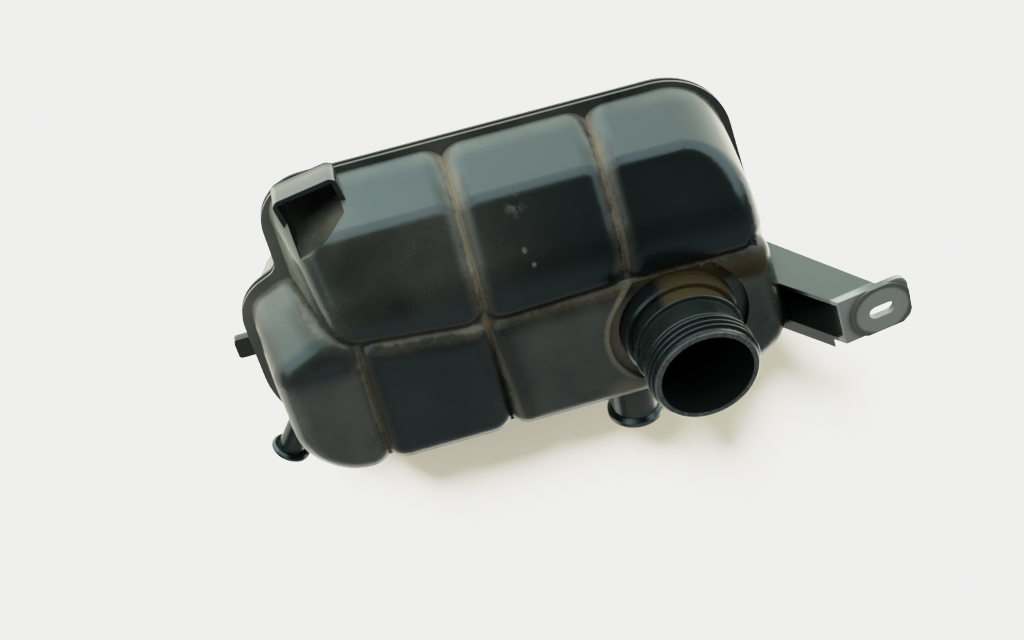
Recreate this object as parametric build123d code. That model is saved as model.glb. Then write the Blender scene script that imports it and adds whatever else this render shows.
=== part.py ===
"""Coolant expansion tank for a car: two moulded half shells welded together at a flange.

Millimetres, +Z up along the filler neck.  The origin is on the flat underside, +X runs along the
tank towards the bracket arm, and +Y points to the long side that slopes down.
"""
from build123d import *
import os
from math import atan2, cos, degrees, hypot, radians, sin, tan

# Shells and weld
lower_depth = 45.0
upper_height = 57.0
wall = 3.0
pillow_wall = 6.5
lip_thickness = 2.5

# Flange outline: x, y, radius of each corner, anticlockwise from the hose corner
flange_corners = [
    (-146.0, -88.0, 60.0),
    (152.0, -88.0, 36.0),
    (119.5, 86.8, 42.0),
    (-120.0, 86.8, 26.0),
    (-120.0, 37.5, 8.0),
    (-146.0, 25.5, 27.0),
]
# Radius of the upright corners of the two walls, in the same order (the inward corner stays sharp)
wall_corners = [36.0, 26.0, 34.0, 16.0, None, 17.0]
# Sides round the whole tank, round the pillows beside the hose corner, and round the hose corner's own pillow
all_sides = [0, 1, 2, 3, 4, 5]
main_sides = [0, 1, 2, 3]
hose_sides = [0, 1, 4, 5]
# On each side of that outline: how far the flange stands out, and the draft of the two walls
flange_widths = [5.0, 4.0, 2.5, 5.0, 5.0, 5.0]
upper_drafts = [16.0, 5.0, 25.0, 17.0, 15.0, 8.0]
lower_drafts = [18.0, 12.0, 30.0, 12.0, 12.0, 12.0]

# Sloping roof over the +Y row
roof_break_y = 33.0
roof_slope = 32.5
roof_radius = 40.0

# Pillows and the grooves between them
upper_groove_depth = 5.0
lower_groove_depth = 3.0
groove_cover = 0.8
pillow_radius = 14.0
lower_pillow_radius = 10.0
lower_bevel = 6.0
groove_left = (-90.0, 15.0)
groove_middle = (-24.0, 6.5)
groove_right = (50.0, 9.0)
groove_notch = (-124.0, 36.0)
groove_middle_foot_x = -14.0

# Filler neck
neck_x = 73.2
neck_y = -23.7
neck_height = 100.0
neck_bore_radius = 24.0
neck_wall = 3.5
collar_radius = 31.0
collar_drop = 37.0
collar_chamfer = 1.2
neck_recess_radius = 38.0
neck_recess_depth = 4.0
rim_chamfer = 1.0

# Hose spigots: the outlet leaves along -Y, the vent leaves the rounded corner
outlet_x = 51.5
outlet_rise = 20.0
outlet_radius = 14.0
outlet_bore_radius = 11.0
outlet_reach = 24.0
outlet_bead_radius = 16.5
outlet_bead_width = 7.0
vent_angle = 236.0
vent_x = -146.0
vent_y = -74.0
vent_rise = 14.0
vent_radius = 7.5
vent_bore_radius = 5.0
vent_bead_radius = 11.0
vent_bead_width = 4.0
vent_length = 34.0
spigot_root = 20.0
bead_chamfer = 0.3

# Bracket arm with its slotted ear
ear_turn = 10.0
ear_height = 80.0
ear_x = 149.7
ear_y = -18.5
ear_length = 37.0
ear_width = 30.0
ear_thickness = 3.0
ear_corner = 6.0
ear_pad_radius = 17.0
ear_pad_height = 1.0
slot_x = 21.5
slot_y = -16.2
slot_length = 14.0
slot_width = 7.5
arm_wall = 2.6
arm_top_slope = 58.4
arm_back_slope = 62.5
arm_land = 23.2
arm_floor_stop = 30.0
arm_lip_width = 8.6
arm_lip_stop = 4.0
arm_root = 36.0

# Pocket at the corner opposite the neck
pocket_turn = 10.0
pocket_x = -110.3
pocket_y = 84.3
pocket_length = 33.5
pocket_depth = 34.0
pocket_height = 17.0
pocket_wall = 2.6
pocket_corner = 4.0
pocket_cut_start = (-76.0, 74.0)
pocket_cut_end = (-104.0, 60.0)

# Locating lug on the lower lip
lug_y = -7.5
lug_width = 12.0
lug_reach = 9.0
lug_thickness = 6.0
lug_corner = 2.0

weld_z = lower_depth
crest_z = weld_z + upper_height
neck_z = weld_z + neck_height
collar_z = neck_z - collar_drop
recess_z = crest_z - neck_recess_depth
far = 400.0
skin = 1.0


def outline(z):
    """Face of the flange's rounded outline at height z."""
    points = [(x, y, z) for x, y, _ in flange_corners]
    radii = [radius for _, _, radius in flange_corners]
    return make_face(FilletPolyline(*points, radius=radii, close=True))


def walls_plan(steps, sides):
    """Corners of a plan made of some sides of the flange, each moved inwards by its own step."""
    lines = []
    for i, (x0, y0, _) in enumerate(flange_corners):
        x1, y1, _ = flange_corners[(i + 1) % len(flange_corners)]
        run = hypot(x1 - x0, y1 - y0)
        ux, uy = (x1 - x0) / run, (y1 - y0) / run
        lines.append((x0 - uy * steps[i], y0 + ux * steps[i], ux, uy))
    corners = []
    for i, side in enumerate(sides):
        ax, ay, aux, auy = lines[sides[i - 1]]
        bx, by, bux, buy = lines[side]
        t = ((bx - ax) * buy - (by - ay) * bux) / (aux * buy - auy * bux)
        corners.append((ax + aux * t, ay + auy * t))
    return corners


def walled(sides, foot_inset, top_inset, height, drafts, extra):
    """Block with flat drafted walls that stands on the weld plane (height below zero hangs from it).

    The insets are square to each wall, and extra carries the walls on past the weld plane.  An inward
    inset at the foot takes as much off the corner radii.
    """

    def ring(share):
        steps = []
        for width, draft in zip(flange_widths, drafts):
            lean = abs(height) * tan(radians(draft))
            inset = foot_inset + (top_inset - foot_inset) * share
            steps.append(width + inset / cos(radians(draft)) + lean * share)
        return [Vector(x, y, weld_z + height * share) for x, y in walls_plan(steps, sides)]

    low = ring(-extra / abs(height))
    high = ring(1)
    rings = [low, high]
    for i in range(len(sides)):
        rings.append([low[i - 1], low[i], high[i], high[i - 1]])
    block = Solid(Shell([make_face(Polyline(*points, close=True)) for points in rings]))
    for i, side in enumerate(sides):
        neighbours = sides[i - 1] == (side - 1) % len(flange_corners)
        if neighbours and wall_corners[side] is not None:
            corner = block.edges().sort_by_distance((low[i] + high[i]) / 2)[0]
            block = fillet(corner, wall_corners[side] - max(foot_inset, 0))
    return block


def roof(inset):
    """Everything under the roof: level over the neck row, sloping down towards +Y."""
    turn = radians(roof_slope)
    top = crest_z - inset
    bend_y = roof_break_y - inset * tan(turn / 2)
    low = top - (far - bend_y) * tan(turn)
    line = FilletPolyline((0, -far, top), (0, bend_y, top), (0, far, low), radius=roof_radius - inset)
    rest = Polyline((0, far, low), (0, far, low - far), (0, -far, low - far), (0, -far, top))
    return Pos(-far, 0, 0) * extrude(make_face(line + rest), amount=2 * far, dir=(1, 0, 0))


def cells():
    """Plan of each pillow, as polygons that share the centre lines of the grooves."""
    slope = (groove_notch[1] - groove_left[1]) / (groove_notch[0] - groove_left[0])
    notch_far = (-far, groove_left[1] - slope * (far + groove_left[0]))
    middle_top = (groove_middle[0], far)
    right_top = (groove_right[0], far)
    left_foot = (groove_left[0], -far)
    middle_foot = (groove_middle_foot_x, -far)
    right_end = (far, groove_right[1])
    return {
        "upper_left": [groove_left, groove_middle, middle_top, (-far, far), notch_far],
        "upper_middle": [groove_middle, groove_right, right_top, middle_top],
        "upper_right": [groove_right, right_end, (far, far), right_top],
        "lower_left": [groove_left, notch_far, (-far, -far), left_foot],
        "lower_middle": [groove_left, left_foot, middle_foot, groove_middle],
        "lower_right": [groove_middle, middle_foot, (far, -far), right_end, groove_right],
    }


def left_of(start, end, shift):
    """Prism over the left of the line from start to end, the line moved to its left by shift."""
    angle = degrees(atan2(end[1] - start[1], end[0] - start[0]))
    place = Pos(start[0], start[1], 0) * Rot(0, 0, angle) * Pos(0, far + shift, 0)
    return place * Box(4 * far, 2 * far, 2 * far)


def inside_cell(block, plan, inset):
    """The share of a block that lies in one cell, moved in from the middle of the grooves."""
    cell = offset(make_face(Polyline(*plan, close=True)), -inset, kind=Kind.INTERSECTION)
    return block & Pos(0, 0, -far) * extrude(cell, amount=2 * far)


def crease_reach(radius, depth):
    """How far the core of a pillow stays from a groove, so that two roundings meet at that depth."""
    return (radius**2 - (radius - depth) ** 2) ** 0.5


def pillow(block, plan):
    """One upper pillow: a smaller sharp block inside its cell, grown by the radius of its rounded edges."""
    core = inside_cell(block, plan, crease_reach(pillow_radius, upper_groove_depth))
    return offset(core, pillow_radius, kind=Kind.ARC)


def lower_pillow(block, plan):
    """One pillow of the underside, rounded where it meets the grooves."""
    radius = lower_pillow_radius
    tall = Pos(0, 0, radius) * Box(4 * far, 4 * far, far, align=(Align.CENTER, Align.CENTER, Align.MIN))
    core = inside_cell(tall, plan, crease_reach(radius, lower_groove_depth))
    return block & offset(core, radius, kind=Kind.ARC)


def upper_block(sides, inset, extra):
    return walled(sides, inset, inset, upper_height, upper_drafts, extra) & roof(inset)


def upper_valley(inset):
    """The upper shell without its pillows, just under the bottom of the grooves."""
    depth = inset + upper_groove_depth + groove_cover
    return walled(all_sides, depth, depth, upper_height, upper_drafts, 0) & roof(depth)


def lower_block(sides, inset):
    return walled(sides, inset, inset, inset - lower_depth, lower_drafts, 0)


def lower_valley(inset):
    depth = inset + lower_groove_depth + groove_cover
    return walled(all_sides, depth, depth, depth - lower_depth, lower_drafts, 0)


def in_cells(shape, main, hose):
    """The same shape made in every cell, from the block whose walls belong to that cell."""
    return [shape(hose if name == "lower_left" else main, plan) for name, plan in cells().items()]


def room(block, plan):
    return inside_cell(block, plan, pillow_wall)


def upper_outside():
    """Pillows standing on the valley. Their cores start below the weld plane, so their feet stay sharp."""
    extra = 3 * pillow_radius
    main = upper_block(main_sides, pillow_radius, extra)
    hose = upper_block(hose_sides, pillow_radius, extra)
    above_weld = Pos(0, 0, weld_z) * Box(2 * far, 2 * far, far, align=(Align.CENTER, Align.CENTER, Align.MIN))
    return upper_valley(0).fuse(*in_cells(pillow, main, hose)) & above_weld


def upper_hollow():
    main = upper_block(main_sides, pillow_wall, 0)
    hose = upper_block(hose_sides, pillow_wall, 0)
    return upper_valley(wall).fuse(*in_cells(room, main, hose))


def lower_bevelled(sides):
    """Lower block cut by walls that lean more, as wide as they are high, to bevel the edge of the underside."""
    start = lower_bevel - lower_depth
    return lower_block(sides, 0) & walled(sides, start, lower_bevel, -lower_depth, lower_drafts, 0)


def lower_outside():
    main = lower_bevelled(main_sides)
    hose = lower_bevelled(hose_sides)
    return lower_valley(0).fuse(*in_cells(lower_pillow, main, hose))


def lower_hollow():
    main = lower_block(main_sides, pillow_wall)
    hose = lower_block(hose_sides, pillow_wall)
    return lower_valley(wall).fuse(*in_cells(room, main, hose))


def cylinder(radius, z_low, z_high, x, y):
    return Pos(x, y, z_low) * Cylinder(radius, z_high - z_low, align=(Align.CENTER, Align.CENTER, Align.MIN))


def neck():
    """Filler neck at the root size of its thread, on a collar that stands in a round recess."""
    collar = cylinder(collar_radius, recess_z - wall, collar_z, neck_x, neck_y)
    collar = chamfer(collar.edges().group_by(Axis.Z)[-1], collar_chamfer)
    tube = cylinder(neck_bore_radius + neck_wall, recess_z, neck_z, neck_x, neck_y)
    tube = chamfer(tube.edges().group_by(Axis.Z)[-1], rim_chamfer)
    return collar + tube


def spigot(radius, bead_radius, bead_width, length):
    """Hose spigot along +Z that ends at the origin, with a bevelled bead behind its tip."""
    tube = Pos(0, 0, -length) * Cylinder(radius, length, align=(Align.CENTER, Align.CENTER, Align.MIN))
    bead = Pos(0, 0, -bead_width) * Cylinder(
        bead_radius, bead_width, align=(Align.CENTER, Align.CENTER, Align.MIN)
    )
    bead = chamfer(bead.edges().filter_by(GeomType.CIRCLE), bead_chamfer * bead_width)
    return tube + bead


def outlet_place():
    low_y = min(y for _, y, _ in flange_corners)
    return Pos(outlet_x, low_y - outlet_reach, weld_z + outlet_rise) * Rot(90, 0, 0)


def vent_place():
    return Pos(vent_x, vent_y, weld_z + vent_rise) * Rot(0, 0, vent_angle) * Rot(0, 90, 0)


def drilling(radius, length):
    """Bore of a spigot, from past its tip back into the hollow."""
    return Pos(0, 0, -length) * Cylinder(radius, length + skin, align=(Align.CENTER, Align.CENTER, Align.MIN))


def ear():
    """Flat ear at the end of the arm, with a raised round pad about its slot."""
    plate = make_face(Polyline((0, 0), (ear_length, 0), (ear_length, -ear_width), (0, -ear_width), close=True))
    outer = plate.vertices().group_by(Axis.X)[-1]
    plate = fillet(outer, ear_corner)
    pad = plate & (Pos(slot_x, slot_y) * Circle(ear_pad_radius))
    hole = Pos(slot_x, slot_y) * SlotOverall(slot_length, slot_width)
    solid = extrude(plate, amount=-ear_thickness) + extrude(pad, amount=ear_pad_height)
    return solid - Pos(0, 0, -ear_thickness) * extrude(hole, amount=2 * ear_thickness)


def arm_profile(points):
    return make_face(Polyline(*[(s, 0, z) for s, z in points], close=True))


def arm():
    """Inclined channel from the flange up to the ear: two side webs, a floor, a lip on one web."""
    fall = ear_height - lip_thickness / 2
    foot = -fall / tan(radians(arm_back_slope))
    root = -arm_root
    back = arm_land + foot
    web_plan = arm_profile([
        (0, 0), (root, root * tan(radians(arm_top_slope))), (root, -fall), (back, -fall), (arm_land, 0),
    ])
    web = extrude(web_plan, amount=arm_wall, dir=(0, -1, 0))
    stop = arm_floor_stop
    stop_s = arm_land - stop / tan(radians(arm_back_slope))
    floor_run = arm_wall / sin(radians(arm_back_slope))
    floor_plan = arm_profile([
        (back, -fall), (stop_s, -stop), (stop_s - floor_run, -stop), (back - floor_run, -fall),
    ])
    floor_plate = extrude(floor_plan, amount=ear_width, dir=(0, -1, 0))
    lip_fall = tan(radians(arm_top_slope))
    lip_drop = arm_wall / cos(radians(arm_top_slope))
    lip_plan = arm_profile([
        (-arm_lip_stop, -arm_lip_stop * lip_fall), (root, root * lip_fall),
        (root, root * lip_fall - lip_drop), (-arm_lip_stop, -arm_lip_stop * lip_fall - lip_drop),
    ])
    lip = extrude(lip_plan, amount=arm_lip_width, dir=(0, -1, 0))
    other_side = Pos(0, arm_wall - ear_width, 0)
    channel = web + other_side * web + other_side * lip + floor_plate + ear()
    return Pos(ear_x, ear_y, weld_z + ear_height) * Rot(0, 0, ear_turn) * channel


def pocket_place():
    return Pos(pocket_x, pocket_y, weld_z) * Rot(0, 0, pocket_turn)


def pocket_walls():
    """Box that stands on the flange corner, open at the top."""
    box = Pos(pocket_length / 2, -pocket_depth / 2, 0) * Box(
        pocket_length, pocket_depth, pocket_height, align=(Align.CENTER, Align.CENTER, Align.MIN)
    )
    corners = box.edges().filter_by(Axis.Z).group_by(Axis.Y)[-1]
    return pocket_place() * fillet(corners, pocket_corner)


def pocket_space(margin):
    """Room inside the pocket, bounded by the slanting wall of the tank; margin makes it larger."""
    inner = pocket_wall - margin
    width = pocket_length - 2 * inner
    depth = pocket_depth - inner
    floor_z = lip_thickness - margin * 2
    room = Pos(inner + width / 2, -inner - depth / 2, floor_z) * Box(
        width, depth, far, align=(Align.CENTER, Align.CENTER, Align.MIN)
    )
    return pocket_place() * room & left_of(pocket_cut_end, pocket_cut_start, -margin)


def upper_shell():
    flange = extrude(outline(weld_z), amount=lip_thickness)
    outside = upper_outside()
    outside -= cylinder(neck_recess_radius, recess_z, far, neck_x, neck_y)
    outlet_length = outlet_reach + flange_widths[0] + spigot_root
    vent_full = vent_length + spigot_root
    outlet = outlet_place() * spigot(outlet_radius, outlet_bead_radius, outlet_bead_width, outlet_length)
    vent = vent_place() * spigot(vent_radius, vent_bead_radius, vent_bead_width, vent_full)
    solid = outside.fuse(flange, neck(), outlet, vent, arm(), pocket_walls())
    hollow = upper_hollow() - pocket_space(wall)
    hollow -= cylinder(neck_recess_radius + wall, recess_z - wall, far, neck_x, neck_y)
    bores = [
        cylinder(neck_bore_radius, weld_z + lip_thickness, far, neck_x, neck_y),
        outlet_place() * drilling(outlet_bore_radius, outlet_length),
        vent_place() * drilling(vent_bore_radius, vent_full),
        pocket_space(0),
    ]
    return solid.cut(hollow, *bores)


def lower_shell():
    lip = extrude(outline(weld_z), amount=-lip_thickness)
    low_x = min(x for x, _, _ in flange_corners)
    lug = Pos(low_x - lug_reach, lug_y, weld_z - lug_thickness) * Box(
        lug_reach + flange_widths[-1], lug_width, lug_thickness, align=(Align.MIN, Align.CENTER, Align.MIN)
    )
    lug = fillet(lug.edges().filter_by(Axis.Z).group_by(Axis.X)[0], lug_corner)
    return lower_outside().fuse(lip, lug).cut(lower_hollow())


os.makedirs("parts", exist_ok=True)
for name, node in (("upper_shell", upper_shell()), ("lower_shell", lower_shell())):
    export_step(node.solid(), f"parts/{name}.step")
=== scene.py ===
# %% [markdown]
# # Coolant expansion tank
# An expansion tank gives hot coolant room to swell. This one is two black plastic mouldings, welded
# together along a thin flange, with pillow-shaped walls that hold the pressure. The CAD model gives every
# size. This lesson loads it, gives it the finish of a used tank, adds the thread that the cap screws on,
# and lights it as in a small studio.

# %% Load the frame
import math
from functools import reduce
from operator import or_
from types import SimpleNamespace

import bmesh
import bpy
from mathutils import Matrix, Vector


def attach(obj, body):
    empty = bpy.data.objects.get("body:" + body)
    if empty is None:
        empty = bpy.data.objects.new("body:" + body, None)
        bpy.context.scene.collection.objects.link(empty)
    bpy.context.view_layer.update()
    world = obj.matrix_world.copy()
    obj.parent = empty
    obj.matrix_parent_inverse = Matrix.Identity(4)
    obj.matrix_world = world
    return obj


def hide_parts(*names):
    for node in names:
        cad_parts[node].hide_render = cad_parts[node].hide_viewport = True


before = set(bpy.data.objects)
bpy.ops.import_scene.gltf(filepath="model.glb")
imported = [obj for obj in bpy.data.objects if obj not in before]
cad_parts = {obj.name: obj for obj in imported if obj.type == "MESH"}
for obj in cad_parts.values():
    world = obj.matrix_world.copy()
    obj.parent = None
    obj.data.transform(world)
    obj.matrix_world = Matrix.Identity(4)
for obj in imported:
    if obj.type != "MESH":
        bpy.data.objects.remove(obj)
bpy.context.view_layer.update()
mm = 0.001
scene = bpy.context.scene

# %% [markdown]
# ## Camera
# The photograph looks down on the tank from behind its top row, and the camera leans a little to one
# side. A camera can be aimed with a constraint, but a lean is easier to give as three directions: right,
# up and back. They are the columns of its rotation.

# %% Camera
camera_place = Vector((-51.4, 383.5, 565.6)) * mm
camera_right = Vector((0.962, -0.1665, 0.2167)).normalized()
camera_up = Vector((0.265, 0.7608, -0.5925)).normalized()
camera_turn = Matrix((camera_right, camera_up, camera_right.cross(camera_up))).transposed()
camera = bpy.data.objects.new("camera", bpy.data.cameras.new("camera"))
camera.data.sensor_width = 36
camera.data.lens = 42.19
camera.matrix_world = Matrix.Translation(camera_place) @ camera_turn.to_4x4()
scene.collection.objects.link(camera)
scene.camera = camera
print("camera looks down by", round(math.degrees(math.asin(camera_turn[2][2])), 1), "degrees")

# %% [markdown]
# ## The two mouldings
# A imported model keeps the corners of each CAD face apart, so light breaks along every seam between a flat
# wall and its rounding. Welding a copy's corners joins the faces again. Edges that really are sharp stay
# marked, and the Weighted Normal modifier lets the large flat faces rule the shading, so the roundings
# look smooth.

# %% Smooth copies of the mouldings
sharp_angle = math.radians(35)
weld_distance = 0.002 * mm
sliver_length = 0.001 * mm


def smooth_moulding(node, name):
    """A welded, smoothly shaded copy of a CAD node, which it replaces."""
    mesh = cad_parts[node].data.copy()
    mesh.name = name
    work = bmesh.new()
    work.from_mesh(mesh)
    bmesh.ops.remove_doubles(work, verts=work.verts, dist=weld_distance)
    bmesh.ops.dissolve_degenerate(work, edges=work.edges, dist=sliver_length)
    for edge in work.edges:
        edge.smooth = edge.is_manifold and edge.calc_face_angle(0) < sharp_angle
    for face in work.faces:
        face.smooth = True
    work.to_mesh(mesh)
    work.free()
    if "custom_normal" in mesh.attributes:
        mesh.attributes.remove(mesh.attributes["custom_normal"])
    piece = bpy.data.objects.new(name, mesh)
    scene.collection.objects.link(piece)
    weighted = piece.modifiers.new("even shading", "WEIGHTED_NORMAL")
    weighted.keep_sharp = True
    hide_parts(node)
    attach(piece, "root")
    print(name, "has", len(mesh.polygons), "faces")
    return piece


upper_moulding = smooth_moulding("upper_shell", "upper_moulding")
lower_moulding = smooth_moulding("lower_shell", "lower_moulding")

# %% [markdown]
# ## Thread on the filler neck
# The cap screws onto a coarse rounded thread. A Screw modifier can turn a profile into a helix, but it
# can't taper the ends, and a moulded thread runs out softly. So the ridge is made ring by ring: each step
# turns a little, climbs a little, and near both ends the profile sinks into the tube. The same function
# makes the plain ring below the thread, where the cap stops: a ridge that doesn't climb.

# %% Filler neck thread
neck_x = 73.2
neck_y = -23.7
tube_radius = 27.5
thread_crest = 29.1
thread_pitch = 3.5
thread_turns = 3.9
thread_start = 129.6
ring_height = 117.5
ring_crest = 29.4
steps_per_turn = 96
taper_rate = 6.0
end_sink = 0.15
# Each corner of the ridge: its place along the neck in mm, and its share of the full height. Those below
# zero are mm below the tube's surface.
ridge_profile = [
    (-1.2, -0.5),
    (-0.85, 0.1),
    (-0.45, 0.8),
    (0.0, 1.0),
    (0.45, 0.8),
    (0.85, 0.1),
    (1.2, -0.5),
]


def add_ridge(work, start, pitch, turns, crest, tapered):
    """A rounded ridge around the neck, sunk a little into the tube; a tapered one runs out at both ends."""
    steps = int(turns * steps_per_turn)
    rings = []
    for step in range(steps + 1):
        angle = math.tau * step / steps_per_turn
        to_end = taper_rate * min(step, steps - step) / steps
        taper = min(1.0, to_end) if tapered else 1.0
        ring = []
        for along, out in ridge_profile:
            rise = out * (crest - tube_radius) * taper if out > 0 else out
            radius = tube_radius + rise - end_sink * (1 - taper)
            x = neck_x + radius * math.cos(angle)
            y = neck_y + radius * math.sin(angle)
            z = start + pitch * step / steps_per_turn + along
            ring.append(work.verts.new(Vector((x, y, z)) * mm))
        rings.append(ring)
    for low, high in zip(rings, rings[1:]):
        for index in range(len(ridge_profile)):
            work.faces.new((low[index - 1], low[index], high[index], high[index - 1]))
    if tapered:
        work.faces.new(rings[0])
        work.faces.new(list(reversed(rings[-1])))


work = bmesh.new()
add_ridge(work, thread_start, thread_pitch, thread_turns, thread_crest, True)
add_ridge(work, ring_height, 0.0, 1.0, ring_crest, False)
bmesh.ops.remove_doubles(work, verts=work.verts, dist=sliver_length)
bmesh.ops.recalc_face_normals(work, faces=work.faces)
for face in work.faces:
    face.smooth = True
thread_mesh = bpy.data.meshes.new("filler_neck_thread")
work.to_mesh(thread_mesh)
work.free()
neck_thread = bpy.data.objects.new("filler_neck_thread", thread_mesh)
scene.collection.objects.link(neck_thread)
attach(neck_thread, "root")
print("thread and stop ring have", len(thread_mesh.polygons), "faces")

# %% [markdown]
# ## Shader expressions
# A finish is a sum of layers: clean plastic, dust in the grooves, dirt in one corner, scuffed edges. Each
# layer is a mask, and masks are arithmetic. Wrapping a socket in a small class lets Python's own
# operators add the Math nodes, so a mask reads like a formula.

# %% Sockets that take part in formulas
class Wire:
    """A socket that takes part in Python expressions. Each operator adds one Math node."""

    def __init__(self, tree, socket=None):
        self.tree = tree
        self.socket = socket

    def node(self, kind, settings=None, inputs=None, output=0):
        """Adds a node, its settings first, then the values or links of its sockets."""
        made = self.tree.nodes.new(kind)
        for name, value in (settings or {}).items():
            setattr(made, name, value)
        for name, value in (inputs or {}).items():
            if isinstance(value, Wire):
                self.tree.links.new(value.socket, made.inputs[name])
            else:
                made.inputs[name].default_value = value
        return Wire(self.tree, made.outputs[output] if made.outputs else None)

    def math(self, operation, *values):
        return self.node("ShaderNodeMath", {"operation": operation}, dict(enumerate(values)))

    def __add__(self, other):
        return self.math("ADD", self, other)

    __radd__ = __add__

    def __sub__(self, other):
        return self.math("SUBTRACT", self, other)

    def __rsub__(self, other):
        return self.math("SUBTRACT", other, self)

    def __mul__(self, other):
        return self.math("MULTIPLY", self, other)

    def __abs__(self):
        return self.math("ABSOLUTE", self)

    def __or__(self, other):
        return self.math("MAXIMUM", self, other)

    def __pow__(self, other):
        return self.math("POWER", self, other)

    def step(self, low, high):
        """Rises smoothly from 0 at low to 1 at high, or falls where low is the larger."""
        ends = {"From Min": low, "From Max": high, "Value": self}
        if low > high:
            ends = {"From Min": high, "From Max": low, "To Min": 1.0, "To Max": 0.0, "Value": self}
        return self.node("ShaderNodeMapRange", {"interpolation_type": "SMOOTHSTEP"}, ends)

    def part(self, axis):
        return self.node("ShaderNodeSeparateXYZ", None, {"Vector": self}, axis)

    def noise(self, scale, detail=3.0, roughness=0.55):
        inputs = {"Vector": self, "Scale": scale, "Detail": detail, "Roughness": roughness}
        return self.node("ShaderNodeTexNoise", None, inputs, "Fac")

    def mixed(self, first, second, mask):
        """The first colour, with the second laid over it where the mask is 1."""
        inputs = {"Factor": mask, 6: first, 7: second}
        return self.node("ShaderNodeMix", {"data_type": "RGBA"}, inputs, 2)


def strongest(masks):
    """At each point, the largest of several masks."""
    return reduce(or_, masks)


def new_tree(name):
    """A material without nodes, and the tree that its formulas will fill."""
    material = bpy.data.materials.new(name)
    material.use_nodes = True
    material.node_tree.nodes.clear()
    return material, Wire(material.node_tree)


print("formula class is ready")

# %% [markdown]
# ## Marks in plan
# Most marks on the tank are a line or a spot when seen from above. A line's mask is the distance from the
# line, cut off at its ends. A spot's mask is the distance from a point. All places are in mm in the
# part's own frame, so the marks stay on the plastic from every side.

# %% Lines and spots
line_end_fade = (-3.0, 1.0)


def line_mask(x, y, start, end, near, wide):
    """1 within near of a line in plan, falling to 0 at wide, and none beyond its ends."""
    length = math.dist(start, end)
    along_x = (end[0] - start[0]) / length
    along_y = (end[1] - start[1]) / length
    across = abs((y - start[1]) * along_x - (x - start[0]) * along_y)
    along = (x - start[0]) * along_x + (y - start[1]) * along_y
    outside, inside = line_end_fade
    from_start = along.step(outside, inside)
    before_end = along.step(length - outside, length - inside)
    return across.step(wide, near) * from_start * before_end


def distance_from(x, y, centre):
    """The distance from a point in plan."""
    return ((x - centre[0]) ** 2.0 + (y - centre[1]) ** 2.0) ** 0.5


def spot_mask(x, y, centre, near, wide):
    """1 within near of a point in plan, falling to 0 at wide."""
    return distance_from(x, y, centre).step(wide, near)


print("line ends fade over", line_end_fade[1] - line_end_fade[0], "mm")

# %% [markdown]
# ## What all masks share
# Every mask starts from the same few values: where a point lies, which way its face looks, how far it is
# from the neck, and four noises from broad to fine. Noise added to x and y gives a second, ragged pair,
# so the edge of a dirty patch doesn't look drawn with a ruler.

# %% Shared values of the masks
mm_per_metre = 1000.0
noise_middle = 0.5
ragged_by_grit = 3.0
ragged_by_cloud = 4.0
collar_edge = (31.4, 32.2)
roof_heights = (80.0, 90.0)


def shared_values(tree):
    """Coordinates in mm, the normal's parts, noises and heights that several masks use."""
    place = tree.node("ShaderNodeTexCoord", output="Object")
    normal = tree.node("ShaderNodeNewGeometry", output="Normal")
    at = SimpleNamespace()
    at.x = place.part("X") * mm_per_metre
    at.y = place.part("Y") * mm_per_metre
    at.z = place.part("Z") * mm_per_metre
    at.normal_x = normal.part("X")
    at.normal_y = normal.part("Y")
    at.facing_up = normal.part("Z")
    at.wave = place.noise(9.0, 1.0)
    at.cloud = place.noise(22.0, 4.0)
    at.grit = place.noise(190.0, 5.0, 0.65)
    at.fine = place.noise(900.0, 2.0)
    ragged = (at.grit - noise_middle) * ragged_by_grit + (at.cloud - noise_middle) * ragged_by_cloud
    at.x_loose = at.x + ragged
    at.y_loose = at.y + ragged
    at.from_neck = distance_from(at.x, at.y, (neck_x, neck_y))
    at.off_neck = at.from_neck.step(*collar_edge)
    at.on_roof = at.z.step(*roof_heights)
    return at


print("the neck's collar ends", collar_edge[0], "mm from its axis")

# %% [markdown]
# ## Dust in the grooves
# Dust settles in the creases between the pillows: a thin line at the bottom with a paler haze beside it.
# It is thicker in some grooves than in others, so each line has an amount. The flanks of a groove are out
# of reach of a cloth, so they are dull even where no dust shows.

# %% Groove masks
groove_left = (-90.0, 15.0)
groove_middle = (-24.0, 6.5)
groove_right = (50.0, 9.0)
groove_lines = [
    ((-126.0, 37.2), groove_left, 0.35),
    (groove_left, groove_middle, 0.8),
    (groove_middle, groove_right, 0.4),
    (groove_right, (124.0, 9.0), 0.3),
    (groove_left, (-90.0, -86.0), 0.8),
    (groove_middle, (-14.0, -86.0), 0.5),
    (groove_middle, (-24.0, 84.0), 1.0),
    (groove_right, (50.0, 84.0), 0.8),
]
dust_line = (0.4, 3.0)
dust_haze = (0.5, 8.0)
haze_share = 0.3
flank_reach = (3.0, 12.0)
above_flange = (47.0, 50.0)
flank_heights = (60.0, 72.0)


def groove_masks(at):
    """Dust in the grooves, and the dull flanks on both sides of them."""
    dust = []
    flanks = []
    for start, end, amount in groove_lines:
        dust.append(line_mask(at.x_loose, at.y_loose, start, end, *dust_line) * amount)
        dust.append(line_mask(at.x_loose, at.y_loose, start, end, *dust_haze) * (amount * haze_share))
        flanks.append(line_mask(at.x, at.y, start, end, *flank_reach))
    uneven = (at.grit * 0.7 + at.cloud * 0.7).step(0.35, 0.85)
    groove_dust = strongest(dust) * at.off_neck * at.z.step(*above_flange) * uneven
    return groove_dust, strongest(flanks) * at.z.step(*flank_heights)


print("grooves marked:", len(groove_lines))

# %% [markdown]
# ## Soil by the neck
# Brown soil has washed into the corner behind the neck, along the groove that leads there and onto the
# side of the collar that faces it. A few amber crumbs lie in it, and one sits where the grooves cross.

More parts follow.
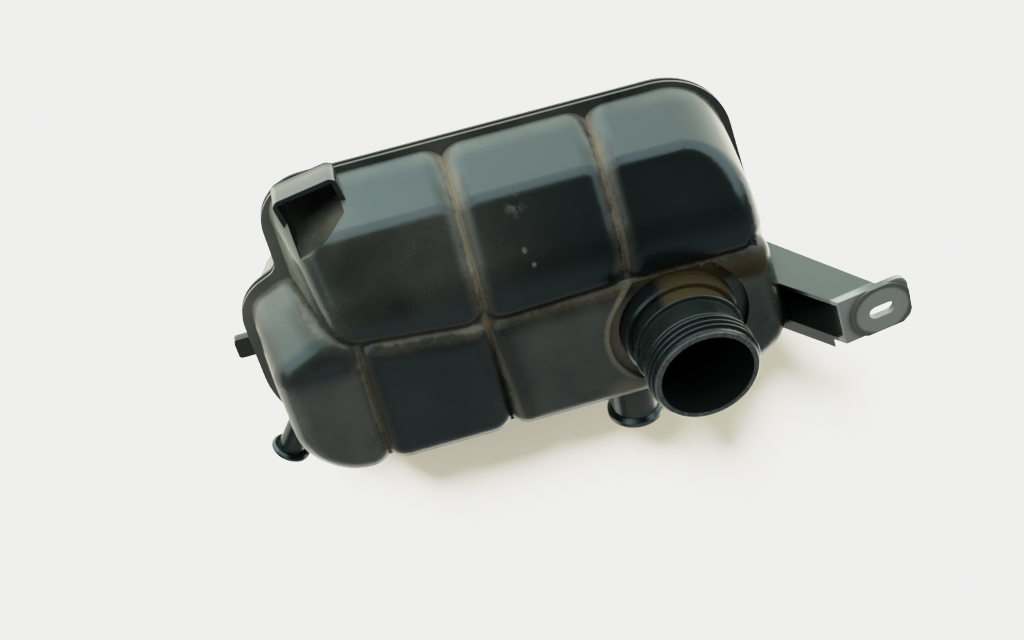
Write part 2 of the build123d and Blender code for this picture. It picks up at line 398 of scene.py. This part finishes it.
# %% Soil and crumbs
corner_start = (60.0, 4.5)
corner_end = (122.0, 0.0)
groove_soil_end = (60.0, 7.0)
collar_soil_top = (117.5, 115.5)
crossing_crumb = (0.8, 4.0)
crumb_core = 0.2
crumbs = [((88.7, 7.5), 1.5), ((87.0, 9.2), 1.2), ((106.9, -5.9), 1.2), ((97.0, 4.0), 0.9)]


def soil_masks(at):
    """Brown soil around the neck, and the amber crumbs."""
    in_corner = line_mask(at.x_loose, at.y_loose, corner_start, corner_end, 4.0, 10.0)
    in_corner = in_corner * at.cloud.step(0.15, 0.45)
    in_groove = line_mask(at.x_loose, at.y_loose, groove_middle, groove_soil_end, 0.8, 4.5) * 0.7
    on_collar = (at.y - neck_y).step(6.0, 18.0) * at.x_loose.step(60.0, 68.0) * at.z.step(*collar_soil_top)
    soil = (in_corner | in_groove) * at.off_neck | on_collar * (1.0 - at.off_neck)
    at_crossing = spot_mask(at.x_loose, at.y_loose, groove_middle, *crossing_crumb) * at.grit.step(0.30, 0.60)
    loose = [spot_mask(at.x, at.y, centre, crumb_core, size) for centre, size in crumbs]
    amber = strongest([at_crossing] + loose) * at.off_neck
    return soil * at.on_roof, amber * at.on_roof


print("crumbs:", len(crumbs))

# %% [markdown]
# ## Film, pale dust and a painted highlight
# Faces that look up hold a grey film. It is thickest at the left end and beside the neck, and the sloping
# row has it only at the left. Pale dust lies below the neck, in the left part of its recess, and on the
# left wall and flange. Last come pale marks: a painted highlight on the middle slope, a few chalk spots
# and some scattered specks.

# %% Film, dust, chalk and a painted highlight
neck_dust_place = (42.0, -66.0)
# The place of a painted highlight: a pale patch on the middle slope where light would glint.
painted_highlight_place = (2.9, 62.0)
chalk_spots = [((2.0, 43.3), 0.4, 1.8), ((4.9, 36.2), 0.3, 1.6)]
pocket_smudge = (-80.0, 68.0)
crease_smudge = (45.0, 22.0)


def film_mask(at):
    """The grey film on faces that look up."""
    low_row = at.y.step(10.0, -6.0)
    left_end = at.x.step(-86.0, -96.0)
    right_end = at.x.step(-22.0, 0.0)
    low_film = at.facing_up.step(0.70, 0.98) * low_row * (0.2 + left_end * 1.5 + right_end * 1.1)
    slope_film = at.facing_up.step(0.3, 0.8) * (1.0 - low_row) * at.x.step(45.0, -60.0) * 0.45
    film = (low_film | slope_film) * at.off_neck * at.cloud.step(0.0, 0.8) * at.z.step(60.0, 75.0)
    flange_film = at.facing_up.step(0.7, 0.95) * at.z.step(52.0, 50.0) * at.x.step(-60.0, -130.0)
    return film | flange_film


def neck_dust_mask(at):
    """Pale dust below the neck and in the left part of its recess."""
    below = spot_mask(at.x_loose, at.y_loose, neck_dust_place, 6.0, 20.0) * at.z.step(66.0, 98.0)
    recess = at.from_neck.step(41.5, 39.5) * at.x.step(52.0, 40.0) * at.z.step(96.0, 98.5)
    return (below | recess) * at.off_neck * (at.cloud * 0.5 + at.grit * 0.7).step(0.30, 0.65)


def left_dust_mask(at):
    """Dust on the left wall of the sloping row and on the flange's left end."""
    wall = at.normal_x.step(-0.2, -0.7) * at.y.step(12.0, 28.0) * at.z.step(90.0, 60.0)
    flange = at.facing_up.step(0.7, 0.95) * at.x.step(-98.0, -122.0) * at.z.step(53.0, 51.0)
    return (wall | flange) * at.z.step(46.0, 47.5) * at.cloud.step(0.1, 0.6)


def flange_dust_mask(at):
    """A thin veil of dust on top of the flange and at the foot of the walls."""
    return at.z.step(58.0, 49.0) * at.z.step(46.0, 48.0) * at.cloud.step(0.2, 0.7)


def chalk_and_highlight_mask(at):
    """A painted highlight, the chalk spots, two smudges and the scattered specks."""
    # The first mark is a painted highlight: a pale patch on the middle slope where light would glint.
    marks = [spot_mask(at.x, at.y, painted_highlight_place, 1.5, 8.0) * at.grit.step(0.47, 0.72) * 0.6]
    for centre, near, wide in chalk_spots:
        marks.append(spot_mask(at.x_loose, at.y_loose, centre, near, wide) * at.grit.step(0.3, 0.6))
    marks.append(spot_mask(at.x, at.y, pocket_smudge, 4.0, 20.0) * at.cloud.step(0.35, 0.75) * 0.3)
    marks.append(spot_mask(at.x, at.y, crease_smudge, 1.0, 6.0) * 0.3)
    marks.append(at.facing_up.step(0.4, 0.8) * at.fine.step(0.70, 0.80) * at.grit.step(0.45, 0.65) * 0.15)
    return strongest(marks)


print("chalk spots:", len(chalk_spots))

# %% [markdown]
# ## Scuffs and matte places
# The ear and the rim of the neck are scuffed grey where tools and the cap have rubbed. Other places have
# lost their gloss: the rough weld seam, the inside of the pocket, the bare tube under the thread, the
# edge that faces away from the light, and everything that holds dirt. A mirror finish there would catch
# the bright table.

# %% Scuff and matte masks
ear_centre = (173.7, -30.7)
weld_height = 45.0
rim_heights = (144.0, 144.9)


def ear_masks(at):
    """The scuffed ear, and the dull ring around its raised pad."""
    ear = at.x.step(140.0, 150.0) * at.z.step(120.0, 122.0)
    from_slot = distance_from(at.x, at.y, ear_centre)
    pad_ring = ear * from_slot.step(13.0, 15.0) * from_slot.step(21.0, 15.5)
    return ear * (1.0 - pad_ring * 0.8) * (0.85 + at.grit * 0.3), pad_ring


def rim_scuff_mask(at):
    """Scuffs on the flat rim of the neck."""
    rim = at.from_neck.step(31.0, 30.0) * at.z.step(*rim_heights) * at.facing_up.step(0.3, 0.7)
    return rim * (0.08 + at.grit.step(0.2, 0.7) * 0.2)


def pocket_mask(at):
    """The inside of the corner pocket."""
    in_x = at.x.step(-105.0, -103.5) * at.x.step(-84.0, -85.5)
    in_y = at.y.step(68.5, 69.5) * at.y.step(84.0, 83.2)
    return in_x * in_y * at.z.step(69.5, 67.5)


def matte_mask(at):
    """Clean places without gloss."""
    from_weld = abs(at.z - weld_height)
    bare_tube = at.from_neck.step(28.2, 27.8) * at.z.step(143.5, 142.5) * at.z.step(100.0, 103.0)
    far_edge = at.normal_y.step(-0.30, -0.65) * at.z.step(78.0, 90.0) * at.y.step(-40.0, -55.0)
    arm_lip = at.x.step(120.0, 128.0) * at.y.step(-40.0, -44.0) * at.z.step(121.0, 119.0)
    places = [
        from_weld.step(1.6, 0.7),
        from_weld.step(4.5, 3.5) * 0.35,
        pocket_mask(at) * 0.9,
        bare_tube * 0.6,
        far_edge * 0.9,
        at.normal_x.step(-0.3, -0.8) * 0.6,
        arm_lip * 0.75,
    ]
    return strongest(places)


print("weld seam lies at", weld_height, "mm")

# %% [markdown]
# ## Black moulded plastic
# The moulded plastic is almost black with a cold sheen. The gloss is uneven: clean faces mirror the room
# softly, dusty ones look grey and flat. The masks above colour the layers one by one, make them rougher,
# and mix in a plain diffuse shader where no gloss is left. The sheen's tint and the refractive index are
# the same everywhere, so they are set as plain numbers.

# %% Used black plastic
clean_black = (0.0022, 0.0036, 0.0036, 1.0)
worn_black = (0.0050, 0.0072, 0.0068, 1.0)
# Beige of dust and chalk; the same beige paints a highlight on the middle slope.
dust_and_highlight_beige = (0.20, 0.185, 0.135, 1.0)
soil_brown = (0.025, 0.019, 0.008, 1.0)
rust_amber = (0.17, 0.105, 0.03, 1.0)
scuff_grey = (0.26, 0.29, 0.28, 1.0)
film_grey = (0.15, 0.16, 0.135, 1.0)
gloss_tint = (0.56, 0.86, 0.95, 1.0)
plastic_ior = 1.5
bump_strength = 0.25
bump_distance = 1.2 * mm
large_dent = (-9.0, -6.0)
small_dent = (-3.5, -19.3)


def surface_height(at):
    """Waviness, grain and two dents, as heights for the bump."""
    dents = spot_mask(at.x_loose, at.y_loose, large_dent, 1.0, 9.0)
    dents = dents | spot_mask(at.x, at.y, small_dent, 0.5, 2.2) * 0.5
    return at.wave * 2.2 + at.cloud * 0.5 + at.grit * 0.05 + at.fine * 0.02 - dents * at.on_roof * 1.2


def used_plastic(name):
    """Black plastic with all the layers of dirt and wear."""
    material, tree = new_tree(name)
    at = shared_values(tree)
    groove_dust, flanks = groove_masks(at)
    soil, amber = soil_masks(at)
    film = film_mask(at)
    neck_dust = neck_dust_mask(at)
    ear_scuffs, pad_ring = ear_masks(at)
    scuffs = ear_scuffs | rim_scuff_mask(at)
    layers = [
        (worn_black, at.cloud),
        (film_grey, film * 0.26),
        (film_grey, flange_dust_mask(at) * 0.35),
        (film_grey, left_dust_mask(at) * 0.6),
        (soil_brown, soil * 0.9),
        (dust_and_highlight_beige, groove_dust * 0.75),
        (dust_and_highlight_beige, neck_dust * 0.7),
        (rust_amber, amber * 0.8),
        # Chalk marks, and among them a painted highlight on the middle slope.
        (dust_and_highlight_beige, chalk_and_highlight_mask(at) * 0.45),
        (scuff_grey, scuffs * 0.8),
    ]
    colour = clean_black
    for layer, mask in layers:
        colour = tree.mixed(colour, layer, mask)
    dull = strongest([film * 0.12, groove_dust * 0.3, soil * 0.35, neck_dust * 0.35, scuffs * 0.25])
    dirty = strongest([pad_ring * 0.35, soil * 0.85, groove_dust * 0.5, neck_dust * 0.6, flanks * 0.45])
    bump_inputs = {"Height": surface_height(at), "Strength": bump_strength, "Distance": bump_distance}
    bump = tree.node("ShaderNodeBump", None, bump_inputs)
    gloss_inputs = {
        "Base Color": colour,
        "Roughness": 0.16 + at.cloud * 0.09 + at.grit * 0.04 + dull,
        "Normal": bump,
        "IOR": plastic_ior,
        "Specular Tint": gloss_tint,
    }
    plastic = tree.node("ShaderNodeBsdfPrincipled", None, gloss_inputs)
    matte = tree.node("ShaderNodeBsdfDiffuse", None, {"Color": colour, "Normal": bump})
    shader = tree.node("ShaderNodeMixShader", None, {0: matte_mask(at) | dirty, 1: plastic, 2: matte})
    tree.node("ShaderNodeOutputMaterial", None, {"Surface": shader})
    print(name, "uses", len(material.node_tree.nodes), "nodes")
    return material


black_plastic = used_plastic("used_black_plastic")
for piece in (upper_moulding, lower_moulding, neck_thread):
    piece.data.materials.clear()
    piece.data.materials.append(black_plastic)

# %% [markdown]
# ## Floor
# The tank lies on a white table, lit so strongly that the table has no detail left. The floor is a large
# plain sheet in a warm white, and the warmth only shows where a shadow takes most of the light away.

# %% White table
floor_half = 6.0
floor_drop = 0.2 * mm
corner_signs = [(-1, -1), (1, -1), (1, 1), (-1, 1)]
floor_corners = [(x * floor_half, y * floor_half, -floor_drop) for x, y in corner_signs]
floor_mesh = bpy.data.meshes.new("table")
floor_mesh.from_pydata(floor_corners, [], [(0, 1, 2, 3)])
floor = bpy.data.objects.new("table", floor_mesh)
scene.collection.objects.link(floor)
table_white, table_tree = new_tree("table_white")
table_inputs = {"Base Color": (0.82, 0.79, 0.66, 1.0), "Roughness": 0.7, "Specular IOR Level": 0.2}
table_paint = table_tree.node("ShaderNodeBsdfPrincipled", None, table_inputs)
table_tree.node("ShaderNodeOutputMaterial", None, {"Surface": table_paint})
floor_mesh.materials.append(table_white)
print("table is", 2 * floor_half, "m wide")

# %% [markdown]
# ## Light
# The photograph's light comes from behind the top row, wide and low, with a dark room above. The black
# plastic shows little else than what it mirrors: the bright table in the walls, the dark ceiling in the
# sloping roofs. So the surroundings are a world shader with a bright band above the horizon.

# %% Surroundings
room_glow = 0.04
horizon_glow = 0.3
band_glow = 3.2
front_glow = 0.30
room_colour = (1.0, 1.0, 0.96, 1.0)
world = bpy.data.worlds.new("studio")
scene.world = world
world.use_nodes = True
world.node_tree.nodes.clear()
sky = Wire(world.node_tree)
toward = sky.node("ShaderNodeTexCoord", output="Generated")
sky_y = toward.part("Y")
sky_z = toward.part("Z")
horizon = sky_z.step(0.30, 0.0)
back_band = sky_z.step(0.70, 0.52) * sky_y.step(0.0, 0.45)
front_fill = sky_y.step(0.1, -0.6)
glow = room_glow + horizon * horizon_glow + back_band * band_glow + front_fill * front_glow
lamp = sky.node("ShaderNodeBackground", None, {"Color": room_colour, "Strength": glow})
sky.node("ShaderNodeOutputWorld", None, {"Surface": lamp})
print("band is", round(band_glow / room_glow), "times as bright as the room")

# %% [markdown]
# ## Suns on the table
# Two suns light the table: a strong one from behind, which casts the shadow, and a weak, very soft one
# from straight above, which keeps the shadow warm and pale. Light linking limits both to the table,
# because a sun would leave a hard bright streak on every rounding of the plastic.

# %% Suns on the table
sun_height = math.radians(32)
toward_sun = Vector((-0.22, math.cos(sun_height), math.sin(sun_height)))
only_table = bpy.data.collections.new("only_table")
only_table.objects.link(floor)


def add_sun(name, energy, angle, colour, direction):
    """A sun that shines on the table only."""
    light = bpy.data.lights.new(name, "SUN")
    light.energy = energy
    light.angle = math.radians(angle)
    light.color = colour
    sun = bpy.data.objects.new(name, light)
    sun.rotation_mode = "QUATERNION"
    sun.rotation_quaternion = direction.to_track_quat("Z", "Y")
    scene.collection.objects.link(sun)
    sun.light_linking.receiver_collection = only_table


add_sun("table_sun", 30.0, 14, (1.0, 1.0, 1.0), toward_sun)
add_sun("table_fill", 1.4, 60, (1.0, 0.95, 0.82), Vector((0.0, 0.0, 1.0)))
print("sun stands", round(math.degrees(sun_height)), "degrees high")

# %% [markdown]
# ## Tone
# The picture is exposed for the black plastic, so the table is far over white. A curve keeps the dark
# tones as they are and rolls the bright ones off to the pale grey of the photograph's background.

# %% Tone curve
brightest = 4.0
tone_end = (1.0, 0.86)
tone_points = [(0.05, 0.20), (0.125, 0.42), (0.25, 0.66), (0.5, 0.80), (0.75, 0.845)]
scene.view_settings.view_transform = "Standard"
scene.view_settings.look = "None"
scene.view_settings.use_curve_mapping = True
tone = scene.view_settings.curve_mapping
tone.white_level = (brightest, brightest, brightest)
curve = tone.curves[3]
curve.points[0].location = (0.0, 0.0)
curve.points[1].location = tone_end
for light_in, light_out in tone_points:
    curve.points.new(light_in, light_out)
tone.update()
print("tone curve has", len(curve.points), "points")
